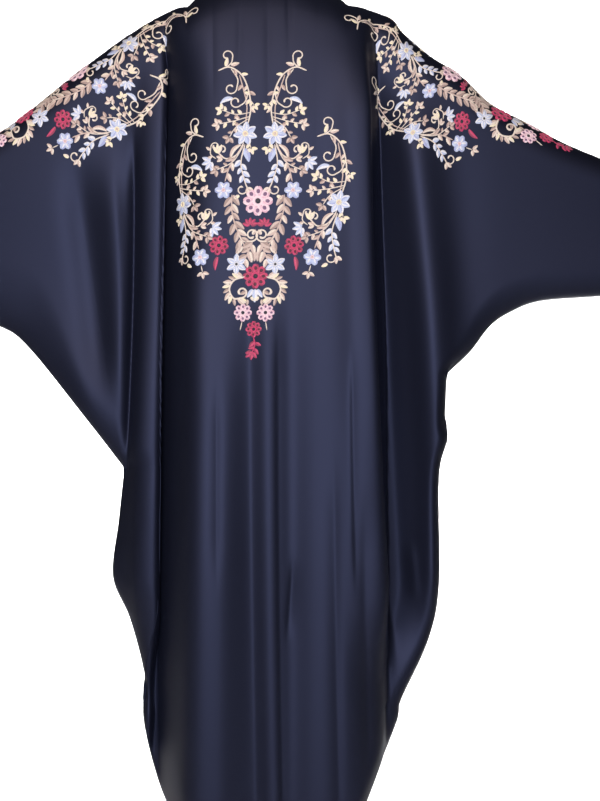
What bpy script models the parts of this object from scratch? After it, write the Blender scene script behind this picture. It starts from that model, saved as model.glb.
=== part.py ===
"""An embroidered batwing abaya cloak, worn with the arms held out, as closed cloth walls in metres.

+Z is up, +Y is towards the wearer's front and +X towards the wearer's right. The origin is midway between
the two neck points, where the cloak rests on the shoulders. The back and the two fronts are each cut in one
with their half of the sleeves, and are sewn along the shoulder, underarm and side lines.
"""

from collections import namedtuple

import bpy
import numpy as np

# Cloth and seams
WALL = 0.0018
SEAM_GAP = 0.0003
LENGTH = 1.480
EDGE_DEPTH = SEAM_GAP / 2

# Neck opening
NECK_HALF_WIDTH = 0.089
BACK_NECK_DROP = 0.018
FRONT_NECK_DROP = 0.085
NECK_DOME_RISE = 0.030

# Centre front opening, from the neck to the hem
FRONT_GAP_TOP = 0.004
FRONT_GAP_HEM = 0.034

# How the arms, held a little forward, carry the sleeves out of the middle plane
SLEEVE_SWEEP = 0.045
SIDE_SWING = 0.016

# Colour and shine of the satin crepe
NAVY = (0.012, 0.014, 0.026, 1.0)
CREPE_ROUGHNESS = 0.48

Point = namedtuple("Point", "x z")
Level = namedtuple("Level", "z half_width back front edge")
Arm = namedtuple("Arm", "x half_depth top_round")
Region = namedtuple("Region", "name columns top_from top_to foot_from foot_to")
Fold = namedtuple("Fold", "x_top x_middle x_foot z_top z_foot left right rise_top rise_foot fade")

# Shoulder line from the neck point to the cuff, on each side
SHOULDER = {
    -1: [Point(-0.089, 0.000), Point(-0.110, -0.012), Point(-0.126, -0.026), Point(-0.136, -0.035),
         Point(-0.156, -0.038), Point(-0.194, -0.056), Point(-0.255, -0.094), Point(-0.343, -0.158),
         Point(-0.413, -0.213), Point(-0.466, -0.250), Point(-0.570, -0.314), Point(-0.728, -0.385)],
    1: [Point(0.089, 0.000), Point(0.115, -0.012), Point(0.133, -0.025), Point(0.144, -0.033),
        Point(0.165, -0.036), Point(0.200, -0.047), Point(0.222, -0.058), Point(0.240, -0.081),
        Point(0.287, -0.120), Point(0.340, -0.153), Point(0.392, -0.201), Point(0.445, -0.228),
        Point(0.515, -0.264), Point(0.583, -0.292), Point(0.728, -0.345)],
}

# Underarm seam from the cuff to the point where the side of the skirt begins
UNDERARM = {
    -1: [Point(-0.721, -0.566), Point(-0.640, -0.565), Point(-0.553, -0.571), Point(-0.466, -0.593),
         Point(-0.413, -0.633), Point(-0.308, -0.761), Point(-0.247, -0.840)],
    1: [Point(0.714, -0.528), Point(0.583, -0.539), Point(0.480, -0.548), Point(0.427, -0.568),
        Point(0.392, -0.592), Point(0.357, -0.637), Point(0.316, -0.676)],
}

# Side seam from there to the hem
SIDE = {
    -1: [Point(-0.247, -0.840), Point(-0.257, -0.931), Point(-0.268, -1.030), Point(-0.238, -1.106),
         Point(-0.211, -1.214), Point(-0.215, -1.281), Point(-0.189, -1.386), Point(-0.149, -LENGTH)],
    1: [Point(0.316, -0.676), Point(0.313, -0.756), Point(0.318, -0.791), Point(0.303, -0.858),
        Point(0.304, -1.045), Point(0.285, -1.141), Point(0.236, -1.246), Point(0.228, -1.285),
        Point(0.172, -1.423), Point(0.145, -LENGTH)],
}

# Cloth over a general figure, by height: half width, depth behind and before, and reach of the side rounding
LEVELS = [
    Level(0.040, 0.150, 0.066, 0.070, 0.10),
    Level(-0.050, 0.170, 0.090, 0.088, 0.10),
    Level(-0.120, 0.178, 0.106, 0.108, 0.10),
    Level(-0.260, 0.184, 0.117, 0.134, 0.10),
    Level(-0.450, 0.190, 0.117, 0.132, 0.11),
    Level(-0.650, 0.196, 0.124, 0.128, 0.13),
    Level(-1.000, 0.200, 0.128, 0.126, 0.16),
    Level(-LENGTH, 0.190, 0.130, 0.126, 0.16),
]
BODY_POWER = 2.6
JOIN_POWER = 4.0

# Cloth carried by the arm, by distance from the centre line
ARMS = [
    Arm(0.000, 0.050, 0.088),
    Arm(0.100, 0.052, 0.070),
    Arm(0.170, 0.054, 0.058),
    Arm(0.300, 0.050, 0.052),
    Arm(0.450, 0.045, 0.047),
    Arm(0.600, 0.040, 0.042),
    Arm(0.740, 0.036, 0.038),
]
HANG_TAPER = 0.35

# Columns of the cloth grid: where each region starts and ends on the shoulder line and at the foot
REGIONS = {
    -1: [Region("neck", 8, 0.0, NECK_HALF_WIDTH, 0.0, 0.080),
         Region("shoulder", 7, NECK_HALF_WIDTH, 0.170, 0.080, 0.149),
         Region("side", 10, 0.170, 0.360, "side", "side"),
         Region("sleeve", 9, 0.360, 0.728, "underarm", "underarm")],
    1: [Region("neck", 8, 0.0, NECK_HALF_WIDTH, 0.0, 0.078),
        Region("shoulder", 7, NECK_HALF_WIDTH, 0.170, 0.078, 0.145),
        Region("side", 12, 0.170, 0.420, "side", "side"),
        Region("sleeve", 8, 0.420, 0.728, "underarm", "underarm")],
}
TOP_ANGLES = np.radians([0, 14, 30, 48, 68, 90])
LOWER_ROWS = 16
KNEE_SOFTNESS = 0.3
KNEE_REACH = 0.15

# Largest folds of the back: ridges rise away from the body and valleys sink towards it
BACK_FOLDS = [
    Fold(-0.190, -0.212, -0.196, -0.140, -1.300, 0.036, 0.020, 0.010, 0.034, 0.20),
    Fold(-0.176, -0.172, -0.170, -0.070, -1.500, 0.017, 0.017, -0.014, -0.046, 0.16),
    Fold(-0.138, -0.142, -0.154, -0.230, -1.300, 0.012, 0.012, 0.012, 0.008, 0.14),
    Fold(-0.078, -0.094, -0.104, -0.520, -1.500, 0.034, 0.032, 0.012, 0.026, 0.24),
    Fold(-0.026, -0.028, -0.028, -0.560, -1.500, 0.021, 0.021, -0.014, -0.022, 0.24),
    Fold(0.004, 0.002, 0.000, -0.440, -1.500, 0.016, 0.014, 0.009, 0.016, 0.20),
    Fold(0.031, 0.032, 0.030, -0.360, -1.500, 0.011, 0.024, -0.012, -0.018, 0.20),
    Fold(0.095, 0.098, 0.086, -0.480, -1.500, 0.048, 0.048, 0.006, 0.014, 0.26),
    Fold(0.146, 0.154, 0.160, -0.660, -1.340, 0.010, 0.012, -0.012, -0.010, 0.10),
    Fold(0.182, 0.206, 0.232, -0.110, -1.220, 0.011, 0.018, -0.012, -0.026, 0.20),
    Fold(0.222, 0.246, 0.252, -0.640, -1.150, 0.024, 0.026, -0.016, -0.022, 0.16),
    Fold(0.228, 0.275, 0.286, -0.150, -1.160, 0.030, 0.024, 0.016, 0.034, 0.16),
    Fold(0.262, 0.290, 0.322, -0.250, -0.700, 0.010, 0.016, -0.012, -0.018, 0.12),
    Fold(-0.046, -0.050, -0.054, 0.010, -0.300, 0.013, 0.013, -0.007, -0.004, 0.10),
    Fold(0.018, 0.008, 0.004, 0.010, -0.300, 0.012, 0.012, -0.007, -0.004, 0.10),
    Fold(-0.330, -0.306, -0.272, -0.260, -0.760, 0.026, 0.026, -0.010, -0.008, 0.16),
    Fold(-0.270, -0.252, -0.236, -0.260, -0.780, 0.024, 0.020, 0.008, 0.008, 0.16),
]

# Largest folds of the front, seen from behind as the back's are
FRONT_FOLDS = [
    Fold(-0.196, -0.216, -0.200, -0.160, -1.300, 0.034, 0.022, 0.010, 0.030, 0.20),
    Fold(-0.172, -0.170, -0.164, -0.090, -1.500, 0.018, 0.018, -0.012, -0.034, 0.16),
    Fold(-0.112, -0.122, -0.126, -0.420, -1.500, 0.026, 0.024, 0.008, 0.020, 0.24),
    Fold(-0.074, -0.080, -0.082, -0.460, -1.500, 0.018, 0.018, -0.010, -0.018, 0.24),
    Fold(-0.036, -0.040, -0.042, -0.400, -1.500, 0.022, 0.022, 0.008, 0.016, 0.24),
    Fold(0.040, 0.042, 0.040, -0.420, -1.500, 0.020, 0.022, 0.008, 0.018, 0.24),
    Fold(0.078, 0.082, 0.080, -0.380, -1.500, 0.017, 0.019, -0.010, -0.018, 0.24),
    Fold(0.118, 0.126, 0.122, -0.430, -1.500, 0.026, 0.024, 0.008, 0.020, 0.24),
    Fold(0.160, 0.172, 0.166, -0.120, -1.420, 0.017, 0.018, -0.012, -0.028, 0.18),
    Fold(0.206, 0.240, 0.250, -0.180, -1.180, 0.024, 0.026, 0.012, 0.026, 0.18),
    Fold(0.240, 0.266, 0.284, -0.280, -1.120, 0.014, 0.018, -0.012, -0.020, 0.16),
    Fold(0.300, 0.296, 0.292, -0.260, -0.660, 0.020, 0.022, 0.010, 0.010, 0.12),
    Fold(-0.318, -0.300, -0.276, -0.300, -0.790, 0.020, 0.018, -0.012, -0.010, 0.12),
    Fold(-0.272, -0.256, -0.246, -0.280, -0.780, 0.022, 0.020, 0.010, 0.010, 0.12),
    Fold(0.440, 0.425, 0.412, -0.330, -0.560, 0.022, 0.022, -0.008, -0.006, 0.08),
]
LEAST_DEPTH = 0.010

CURVE_STEPS = 24
TURNED = [0, 3, 2, 1]


def clear_scene():
    for old in list(bpy.data.objects):
        bpy.data.objects.remove(old, do_unlink=True)


def smooth_curve(points):
    """A Catmull-Rom curve through the points, sampled CURVE_STEPS times between each two."""
    knots = np.array([(p.x, p.z) for p in points])
    ends = np.vstack([2 * knots[0] - knots[1], knots, 2 * knots[-1] - knots[-2]])
    a, b, c, d = ends[:-3], ends[1:-2], ends[2:-1], ends[3:]
    t = np.linspace(0, 1, CURVE_STEPS, endpoint=False)[:, None, None]
    inner = 0.5 * (2 * b + (c - a) * t + (2 * a - 5 * b + 4 * c - d) * t**2 + (3 * b - a - 3 * c + d) * t**3)
    return np.vstack([inner.transpose(1, 0, 2).reshape(-1, 2), knots[-1]])


def along(curve, shares):
    """Points at shares of the curve's length."""
    run = np.concatenate([[0], np.cumsum(np.linalg.norm(np.diff(curve, axis=0), axis=1))])
    at = np.asarray(shares) * run[-1]
    return np.stack([np.interp(at, run, curve[:, 0]), np.interp(at, run, curve[:, 1])], axis=1)


RIDGES = {side: smooth_curve(points) for side, points in SHOULDER.items()}
UNDERARMS = {side: smooth_curve(points) for side, points in UNDERARM.items()}
SIDES = {side: smooth_curve(points) for side, points in SIDE.items()}
SEAM_SAMPLES = np.vstack([
    along(np.vstack([UNDERARMS[side], SIDES[side][1:]]), np.linspace(0, 1, 500)) for side in (-1, 1)
])


def shoulder_height(x):
    """Height of the shoulder line. Across the neck it is the dome that the neckline is cut from."""
    left = np.interp(-x, -RIDGES[-1][:, 0], RIDGES[-1][:, 1])
    right = np.interp(x, RIDGES[1][:, 0], RIDGES[1][:, 1])
    dome = NECK_DOME_RISE * (1 - (x / NECK_HALF_WIDTH) ** 2)
    return np.where(np.abs(x) < NECK_HALF_WIDTH, dome, np.where(x < 0, left, right))


def by_level(z, column):
    heights = np.array([level.z for level in LEVELS])[::-1]
    values = np.array([getattr(level, column) for level in LEVELS])[::-1]
    return np.interp(z, heights, values)


def by_arm(x, column):
    reach = np.array([arm.x for arm in ARMS])
    return np.interp(np.abs(x), reach, np.array([getattr(arm, column) for arm in ARMS]))


def smoothstep(t):
    t = np.clip(t, 0, 1)
    return t * t * (3 - 2 * t)


def seam_distance(x, z):
    """Distance in the middle plane to the underarm and side seams."""
    flat = np.stack([x.ravel(), z.ravel()], axis=1)
    apart = np.linalg.norm(flat[:, None, :] - SEAM_SAMPLES[None, :, :], axis=2)
    return apart.min(axis=1).reshape(x.shape)


def fold_rise(x, z, folds):
    """Sum of the folds: each is a bell across its path, with its own width on each side of it."""
    total = np.zeros_like(x)
    for fold in folds:
        t = np.clip((fold.z_top - z) / (fold.z_top - fold.z_foot), 0, 1)
        path = (fold.x_top * (1 - t) * (1 - 2 * t) + fold.x_middle * 4 * t * (1 - t)
                + fold.x_foot * t * (2 * t - 1))
        off = x - path
        width = np.where(off < 0, fold.left, fold.right)
        rise = fold.rise_top + (fold.rise_foot - fold.rise_top) * smoothstep(1.6 * t)
        starts = smoothstep((fold.z_top - z) / fold.fade)
        ends = smoothstep((z - fold.z_foot) / fold.fade)
        if fold.z_foot < -LENGTH:
            ends = 1.0
        total += rise * starts * ends * np.exp(-((off / width) ** 2))
    return total


def sideways(x, z):
    """How far the middle of the cloak stands forward: the arms sweep the sleeves, the sides swing."""
    reach = np.abs(x) / 0.73
    sweep = SLEEVE_SWEEP * smoothstep((reach - 0.22) / 0.95) * smoothstep((z + 0.95) / 0.35)
    swing = SIDE_SWING * np.sin(7.0 * z + 2.2 * np.sign(x)) * smoothstep((np.abs(x) - 0.12) / 0.2)
    return sweep + swing * smoothstep((-0.30 - z) / 0.4)


def cloth_depth(x, z, face, folds):
    """Depth of the cloth from the middle plane, behind or before the figure."""
    drop = np.maximum(shoulder_height(x) - z, 0)
    body = by_level(z, face) * np.maximum(1 - np.abs(x / by_level(z, "half_width")) ** BODY_POWER, 0) ** (1 / BODY_POWER)
    hang = by_arm(x, "half_depth") * (1 - HANG_TAPER * smoothstep(drop / 0.55))
    depth = (body**JOIN_POWER + hang**JOIN_POWER) ** (1 / JOIN_POWER)
    depth = depth + fold_rise(x, z, folds)
    depth = (np.maximum(depth, 0) ** JOIN_POWER + LEAST_DEPTH**JOIN_POWER) ** (1 / JOIN_POWER)
    over_top = np.clip(drop / by_arm(x, "top_round"), 0, 1)
    edge = np.clip(seam_distance(x, z) / by_level(z, "edge"), 0, 1)
    return depth * np.sqrt(1 - (1 - over_top) ** 2) * np.sin(0.5 * np.pi * edge) ** 0.9


def neckline(x, drop):
    return -drop * (1 - (np.abs(x) / NECK_HALF_WIDTH) ** 2.4)


def column_ends(side, neck_drop, centre_gap):
    """Top, knee and foot of each column in the middle plane, from the centre line to the cuff.

    A column to the side seam bends at its knee, level with the underarm corner, so that it stays inside the
    outline. The other columns are straight and have no knee."""
    corner = SIDES[side][0]
    tops, knees, feet = [], [], []
    for region in REGIONS[side]:
        share = np.linspace(0, 1, region.columns + 1)
        knee = np.full_like(share, np.nan)
        if region.name == "neck":
            angle = share * np.pi / 2
            x = centre_gap[0] + (NECK_HALF_WIDTH - centre_gap[0]) * np.sin(angle)
            top = np.stack([side * x, neckline(x, neck_drop)], axis=1)
        else:
            x = side * (region.top_from + (region.top_to - region.top_from) * share)
            top = np.stack([x, shoulder_height(x)], axis=1)
        if region.foot_from == "side":
            foot = along(SIDES[side], 1 - share)
            first = (top[0, 1] - corner[1]) / (top[0, 1] - foot[0, 1])
            inner_knee = top[0, 0] + (foot[0, 0] - top[0, 0]) * first
            knee = inner_knee + (corner[0] - inner_knee) * share
        elif region.foot_from == "underarm":
            foot = along(UNDERARMS[side], 1 - share)
        else:
            start = max(region.foot_from, centre_gap[1])
            foot = np.stack([side * (start + (region.foot_to - start) * share),
                             np.full_like(share, -LENGTH)], axis=1)
        first_kept = 1 if tops else 0
        tops.append(top[first_kept:])
        knees.append(knee[first_kept:])
        feet.append(foot[first_kept:])
    return np.vstack(tops), np.concatenate(knees), np.vstack(feet)


def bent_columns(tops, knees, feet, z, knee_height):
    """Sideways place of each column at heights z: two straight runs joined at the knee by a hyperbola."""
    down = (tops[:, 1] - z) / (tops[:, 1] - feet[:, 1])
    straight = tops[:, 0] + (feet[:, 0] - tops[:, 0]) * down
    below = np.minimum(feet[:, 1] - knee_height, -1e-6)
    upper = (tops[:, 0] - knees) / (tops[:, 1] - knee_height)
    lower = np.where(below < -1e-5, (feet[:, 0] - knees) / below, upper)
    softness = KNEE_SOFTNESS * np.minimum(-below, KNEE_REACH)

    def run(height):
        off = height - knee_height
        return knees + 0.5 * (upper + lower) * off + 0.5 * (upper - lower) * np.sqrt(off**2 + softness**2)

    top_error = run(tops[:, 1]) - tops[:, 0]
    foot_error = run(feet[:, 1]) - feet[:, 0]
    bent = run(z) - top_error * (1 - down) - foot_error * down
    return np.where(np.isnan(knees), straight, bent)


def cloth_rows(tops, knees, feet):
    """Rows from the top line, over the round of the shoulder or arm, and down to the foot."""
    ridge = np.maximum(shoulder_height(tops[:, 0]), tops[:, 1])
    round_by = by_arm(tops[:, 0], "top_round")
    start = np.arccos(np.clip(1 - (ridge - tops[:, 1]) / round_by, -1, 1))
    start = np.minimum(start, np.pi / 2 - 0.2)
    share = TOP_ANGLES / TOP_ANGLES[-1]
    angle = start + (np.pi / 2 - start) * share[:, None]
    drop = round_by * (1 - np.cos(angle)) - round_by * (1 - np.cos(start))
    fall = tops[:, 1] - feet[:, 1]
    last = drop[-1]
    lower = last + (fall - last) * (np.arange(1, LOWER_ROWS + 1) / LOWER_ROWS)[:, None]
    z = tops[:, 1] - np.vstack([drop, lower])
    corner_height = np.where(tops[:, 0] < 0, SIDES[-1][0, 1], SIDES[1][0, 1])
    return bent_columns(tops, knees, feet, z, corner_height), z


def grid_normals(points):
    """Unit normals of a grid of points, by the cross product of its row and column directions."""
    across = np.gradient(points, axis=1)
    down = np.gradient(points, axis=0)
    normal = np.cross(across, down)
    return normal / np.maximum(np.linalg.norm(normal, axis=2, keepdims=True), 1e-12)


def wall_faces(rows, columns):
    """Quads of an outer and an inner grid and of the four rims between them."""
    at = np.arange(rows * columns).reshape(rows, columns)
    inner = rows * columns
    a, b, c, d = at[:-1, :-1], at[:-1, 1:], at[1:, 1:], at[1:, :-1]
    outside = np.stack([a, b, c, d], axis=-1).reshape(-1, 4)
    inside = outside[:, TURNED] + inner
    loop = np.concatenate([at[0, :-1], at[:-1, -1], at[-1, :0:-1], at[:0:-1, 0]])
    after = np.roll(loop, -1)
    rim = np.stack([after, loop, loop + inner, after + inner], axis=1)
    return np.vstack([outside, inside, rim])


def add_solid(name, outer, inner, material, flip):
    rows, columns = outer.shape[:2]
    faces = wall_faces(rows, columns)
    if flip:
        faces = faces[:, TURNED]
    mesh = bpy.data.meshes.new(name)
    mesh.from_pydata(np.vstack([outer.reshape(-1, 3), inner.reshape(-1, 3)]).tolist(), [], faces.tolist())
    mesh.materials.append(material)
    mesh.shade_smooth()
    mesh.set_sharp_from_angle(angle=np.radians(50))
    solid = bpy.data.objects.new(name, mesh)
    bpy.context.scene.collection.objects.link(solid)
    return solid


def cloth_material(name, colour, roughness):
    material = bpy.data.materials.new(name)
    material.use_nodes = True
    shader = material.node_tree.nodes["Principled BSDF"]
    shader.inputs["Base Color"].default_value = colour
    shader.inputs["Roughness"].default_value = roughness
    shader.inputs["Metallic"].default_value = 0.0
    return material


def add_panel(name, sides, face, folds, neck_drop, centre_gap, material):
    """One cut panel: its outer skin on the folds, and its inner skin a wall's thickness nearer the figure."""
    outward = -1 if face == "back" else 1
    columns = []
    for side in sides:
        ends = [part[::side] for part in column_ends(side, neck_drop, centre_gap)]
        columns.append(ends if not columns else [part[1:] for part in ends])
    tops, knees, feet = (np.concatenate(parts) for parts in zip(*columns))
    x, z = cloth_rows(tops, knees, feet)
    depth = cloth_depth(x, z, face, folds)

    on_ridge = np.abs(tops[:, 0]) >= NECK_HALF_WIDTH - 1e-9
    on_seam = feet[:, 1] > -LENGTH + 1e-9
    corner = np.abs(feet[:, 1] + LENGTH) < 1e-9
    hem_ends = corner & (np.abs(seam_distance(feet[:, :1], feet[:, 1:])[:, 0]) < 1e-3)
    closed_foot = on_seam | hem_ends
    depth = np.maximum(depth, EDGE_DEPTH)
    depth[0, on_ridge] = EDGE_DEPTH
    depth[-1, closed_foot] = EDGE_DEPTH

    outer = np.stack([x, outward * depth, z], axis=2)
    normal = grid_normals(outer)
    normal *= np.sign(normal[..., 1:2].sum()) * outward
    normal[0, on_ridge] = (0, 0, 1)
    seam_line = np.stack([x[-1], z[-1]], axis=1)
    run = np.gradient(seam_line, axis=0)
    beside = np.stack([run[:, 1], -run[:, 0]], axis=1)
    beside /= np.linalg.norm(beside, axis=1, keepdims=True)
    beside *= np.sign(np.where(np.abs(x[-1]) > 0.4, -beside[:, 1], np.sign(x[-1]) * beside[:, 0] * 1.0))[:, None]
    normal[-1, closed_foot] = np.stack([beside[:, 0], np.zeros(len(beside)), beside[:, 1]], axis=1)[closed_foot]
    hem = ~closed_foot
    normal[-1, hem, 2] = 0
    normal[-1] /= np.linalg.norm(normal[-1], axis=1, keepdims=True)
    inner = outer - WALL * normal
    inner[..., 1] = outward * np.maximum(outward * inner[..., 1], EDGE_DEPTH)
    inner[-1, hem_ends, 2] = -LENGTH
    for skin in (outer, inner):
        skin[..., 1] += sideways(skin[..., 0], skin[..., 2])
    return add_solid(name, outer, inner, material, flip=face == "back")


def main():
    clear_scene()
    crepe = cloth_material("satin_crepe", NAVY, CREPE_ROUGHNESS)
    closed = (0.0, 0.0)
    opened = (FRONT_GAP_TOP / 2, FRONT_GAP_HEM / 2)
    add_panel("back", (-1, 1), "back", BACK_FOLDS, BACK_NECK_DROP, closed, crepe)
    add_panel("front_left", (-1,), "front", FRONT_FOLDS, FRONT_NECK_DROP, opened, crepe)
    add_panel("front_right", (1,), "front", FRONT_FOLDS, FRONT_NECK_DROP, opened, crepe)


main()
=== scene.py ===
# Embroidered batwing abaya cloak: satin crepe panels, stitched edges and machine embroidery.
# The cloak hangs from its neck at the origin, in metres: +Z up, +Y to its open front, +X to its right sleeve.
import math

import bpy
import numpy as np
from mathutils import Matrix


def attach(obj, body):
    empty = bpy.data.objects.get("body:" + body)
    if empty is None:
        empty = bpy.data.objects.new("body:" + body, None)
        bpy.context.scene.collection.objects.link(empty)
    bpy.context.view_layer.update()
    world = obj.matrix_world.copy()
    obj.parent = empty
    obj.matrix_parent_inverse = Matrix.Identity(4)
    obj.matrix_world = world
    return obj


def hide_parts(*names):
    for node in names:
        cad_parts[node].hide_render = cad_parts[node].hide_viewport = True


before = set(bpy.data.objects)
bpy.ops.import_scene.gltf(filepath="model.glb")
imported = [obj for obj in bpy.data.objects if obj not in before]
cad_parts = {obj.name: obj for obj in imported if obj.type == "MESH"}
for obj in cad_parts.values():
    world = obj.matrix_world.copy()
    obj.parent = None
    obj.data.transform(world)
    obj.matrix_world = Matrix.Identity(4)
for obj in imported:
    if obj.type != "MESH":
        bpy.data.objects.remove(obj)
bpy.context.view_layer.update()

scene = bpy.context.scene


# named columns: each name gets the array of its values down the rows
def table(names, rows):
    return dict(zip(names.split(), np.array(rows, dtype=float).T))


# a Catmull-Rom curve through the points, with steps samples between each two
def smoothCurve(points, steps=24):
    knots = np.array(points, dtype=float)
    ends = np.vstack([2 * knots[0] - knots[1], knots, 2 * knots[-1] - knots[-2]])
    a, b, c, d = ends[:-3], ends[1:-2], ends[2:-1], ends[3:]
    t = np.linspace(0, 1, steps, endpoint=False)[:, None, None]
    run = 0.5 * (2 * b + (c - a) * t + (2 * a - 5 * b + 4 * c - d) * t**2 + (3 * b - a - 3 * c + d) * t**3)
    return np.vstack([run.transpose(1, 0, 2).reshape(-1, knots.shape[1]), knots[-1]])


# distance run along a curve, starting at 0
def runAlong(curve):
    return np.concatenate([[0], np.cumsum(np.linalg.norm(np.diff(curve, axis=0), axis=1))])


# the columns of a line's values read off at distances along it
def readAlong(at, run, values):
    return np.stack([np.interp(at, run, values[:, k]) for k in range(values.shape[1])], axis=-1)


# points at shares of the curve's length
def alongCurve(curve, shares):
    run = runAlong(curve)
    return readAlong(np.asarray(shares) * run[-1], run, curve)


# distance run along each row of a grid of points, starting at 0
def rowRuns(points):
    steps = np.linalg.norm(np.diff(points, axis=1), axis=2)
    return np.concatenate([np.zeros((len(points), 1)), np.cumsum(steps, axis=1)], axis=1)


# vectors brought to length 1
def unit(vectors):
    return vectors / np.maximum(np.linalg.norm(vectors, axis=-1, keepdims=True), 1e-12)


# 3t^2 - 2t^3 between 0 and 1
def smoothStep(t):
    t = np.clip(t, 0, 1)
    return t * t * (3 - 2 * t)


cloakCut = {
    "length": 1.480,
    "neckHalfWidth": 0.089,
    "backNeckDrop": 0.018,
    "frontNeckDrop": 0.085,
    "necklinePower": 2.4,
    "neckDomeRise": 0.030,
    "frontGapTop": 0.004,
    "frontGapHem": 0.034,
    "cuffReach": 0.73,  # from the middle to a cuff
    "sleeveSweep": 0.045,  # the cuffs stand this far forward
    "sideSwing": 0.016,  # the sides swing this far to the front and the back
    "swingPerMetre": 7.0,  # radians of the swing's wave for each metre down
    "swingShift": 2.2,
    "edgeDepth": 0.00015,  # half of the 0.3 mm between two panels at a seam
    "clothThickness": 0.0007,
    # the cloth turns round the seams within this share of the level's edge width, left and right
    "bodyEdge": {"back": (0.36, 0.16), "front": (1.0, 1.0)},
    "wingEdge": {"back": (1.05, 0.45), "front": (1.0, 1.0)},
    "wingFrom": 0.30,  # from here outwards the body's share goes over to the wing's
    "wingBlend": 0.12,
    "edgePower": {"back": 2.2, "front": 1.35},
    "topReach": 1.25,  # drop over which the cloth turns over the shoulder line, in top rounds
    "topPower": 2.6,
    "rightFullness": 1.07,  # the back is wider by this on its right
    "leastDepth": 0.010,  # of the hollow, away from the seams
    "bodyPower": {"back": 3.9, "front": 2.6},
    "joinPower": 4.0,
    "hangTaper": 0.35,  # share of its depth that a sleeve loses over the next drop
    "hangTaperDrop": 0.55,
    "foldGrowth": 1.6,  # a fold has its foot's rise after 1 / 1.6 of its length
    "creasePower": 1.4,
    "leanSeamGap": 0.04,  # a crest leans in full from this far off the seams
    "leanTopGap": 0.08,  # and from this far under the shoulder line
    "kneeSoftness": 0.3,  # of the bend where columns of the grid pass the underarm corner
    "kneeReach": 0.15,
    "topRows": 16,
    "topSpread": 1.15,
    "lowerRows": 108,
}

# x and z of the shoulder line, the underarm seam and the side seam in the middle plane, -1 for the left side
shoulderLine = {
    -1: [(-0.089, 0.000), (-0.110, -0.012), (-0.126, -0.026), (-0.136, -0.035), (-0.156, -0.038),
         (-0.194, -0.056), (-0.255, -0.094), (-0.343, -0.158), (-0.413, -0.213), (-0.466, -0.250),
         (-0.570, -0.314), (-0.728, -0.385)],
    1: [(0.089, 0.000), (0.115, -0.012), (0.133, -0.025), (0.144, -0.033), (0.165, -0.036),
        (0.200, -0.047), (0.222, -0.058), (0.240, -0.081), (0.287, -0.120), (0.340, -0.153),
        (0.392, -0.201), (0.445, -0.228), (0.515, -0.264), (0.583, -0.292), (0.728, -0.345)],
}
underarmSeam = {
    -1: [(-0.721, -0.566), (-0.640, -0.565), (-0.553, -0.571), (-0.466, -0.593), (-0.413, -0.633),
         (-0.308, -0.761), (-0.247, -0.840)],
    1: [(0.714, -0.528), (0.583, -0.539), (0.480, -0.548), (0.427, -0.568), (0.392, -0.592),
        (0.357, -0.637), (0.316, -0.676)],
}
sideSeam = {
    -1: [(-0.247, -0.840), (-0.257, -0.931), (-0.268, -1.030), (-0.238, -1.106), (-0.211, -1.214),
         (-0.215, -1.281), (-0.189, -1.386), (-0.149, -1.480)],
    1: [(0.316, -0.676), (0.313, -0.756), (0.318, -0.791), (0.303, -0.858), (0.304, -1.045),
        (0.285, -1.141), (0.236, -1.246), (0.228, -1.285), (0.172, -1.423), (0.145, -1.480)],
}

# the hollow body of the cloak, from the hem up; edge is the width over which it turns round the side seams
bodyLevels = table("z halfWidth back front edge", [
    (-1.480, 0.190, 0.130, 0.126, 0.16),
    (-1.000, 0.200, 0.128, 0.126, 0.16),
    (-0.650, 0.196, 0.124, 0.128, 0.13),
    (-0.450, 0.190, 0.117, 0.132, 0.11),
    (-0.260, 0.184, 0.117, 0.134, 0.10),
    (-0.120, 0.178, 0.106, 0.108, 0.10),
    (-0.050, 0.170, 0.090, 0.088, 0.10),
    (0.040, 0.150, 0.066, 0.070, 0.10),
])
# the sleeve, from the middle out to the cuff; topRound is the radius over its shoulder line
sleeveLevels = table("x halfDepth topRound", [
    (0.000, 0.050, 0.088),
    (0.100, 0.052, 0.070),
    (0.170, 0.054, 0.058),
    (0.300, 0.050, 0.052),
    (0.450, 0.045, 0.047),
    (0.600, 0.040, 0.042),
    (0.740, 0.036, 0.038),
])

# each fold is a bell across a path from its top by its middle to its foot, as wide as left and right say;
# a negative rise is a valley, and fade is the drop over which a fold starts and ends
foldColumns = "xTop xMiddle xFoot zTop zFoot left right riseTop riseFoot fade"
backFolds = table(foldColumns, [
    (-0.180, -0.204, -0.208, -0.080, -1.500, 0.030, 0.018, 0.014, 0.034, 0.20),
    (-0.120, -0.124, -0.130, -0.300, -1.500, 0.026, 0.036, 0.005, 0.016, 0.30),
    (-0.072, -0.076, -0.080, -0.480, -1.500, 0.050, 0.038, 0.008, 0.018, 0.28),
    (0.006, 0.007, 0.018, -0.480, -1.500, 0.022, 0.024, 0.006, 0.009, 0.20),
    (0.044, 0.046, 0.044, -0.480, -1.500, 0.020, 0.024, -0.003, -0.005, 0.20),
    (0.120, 0.126, 0.114, -0.300, -1.500, 0.060, 0.050, 0.005, 0.010, 0.30),
    (0.170, 0.178, 0.212, -0.080, -1.220, 0.045, 0.012, 0.020, 0.030, 0.16),
    (0.238, 0.291, 0.298, -0.150, -1.180, 0.034, 0.040, 0.014, 0.026, 0.18),
    (-0.330, -0.306, -0.272, -0.260, -0.760, 0.026, 0.026, -0.010, -0.008, 0.16),
    (-0.270, -0.256, -0.256, -0.260, -0.780, 0.024, 0.016, 0.008, 0.008, 0.16),
])
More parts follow.
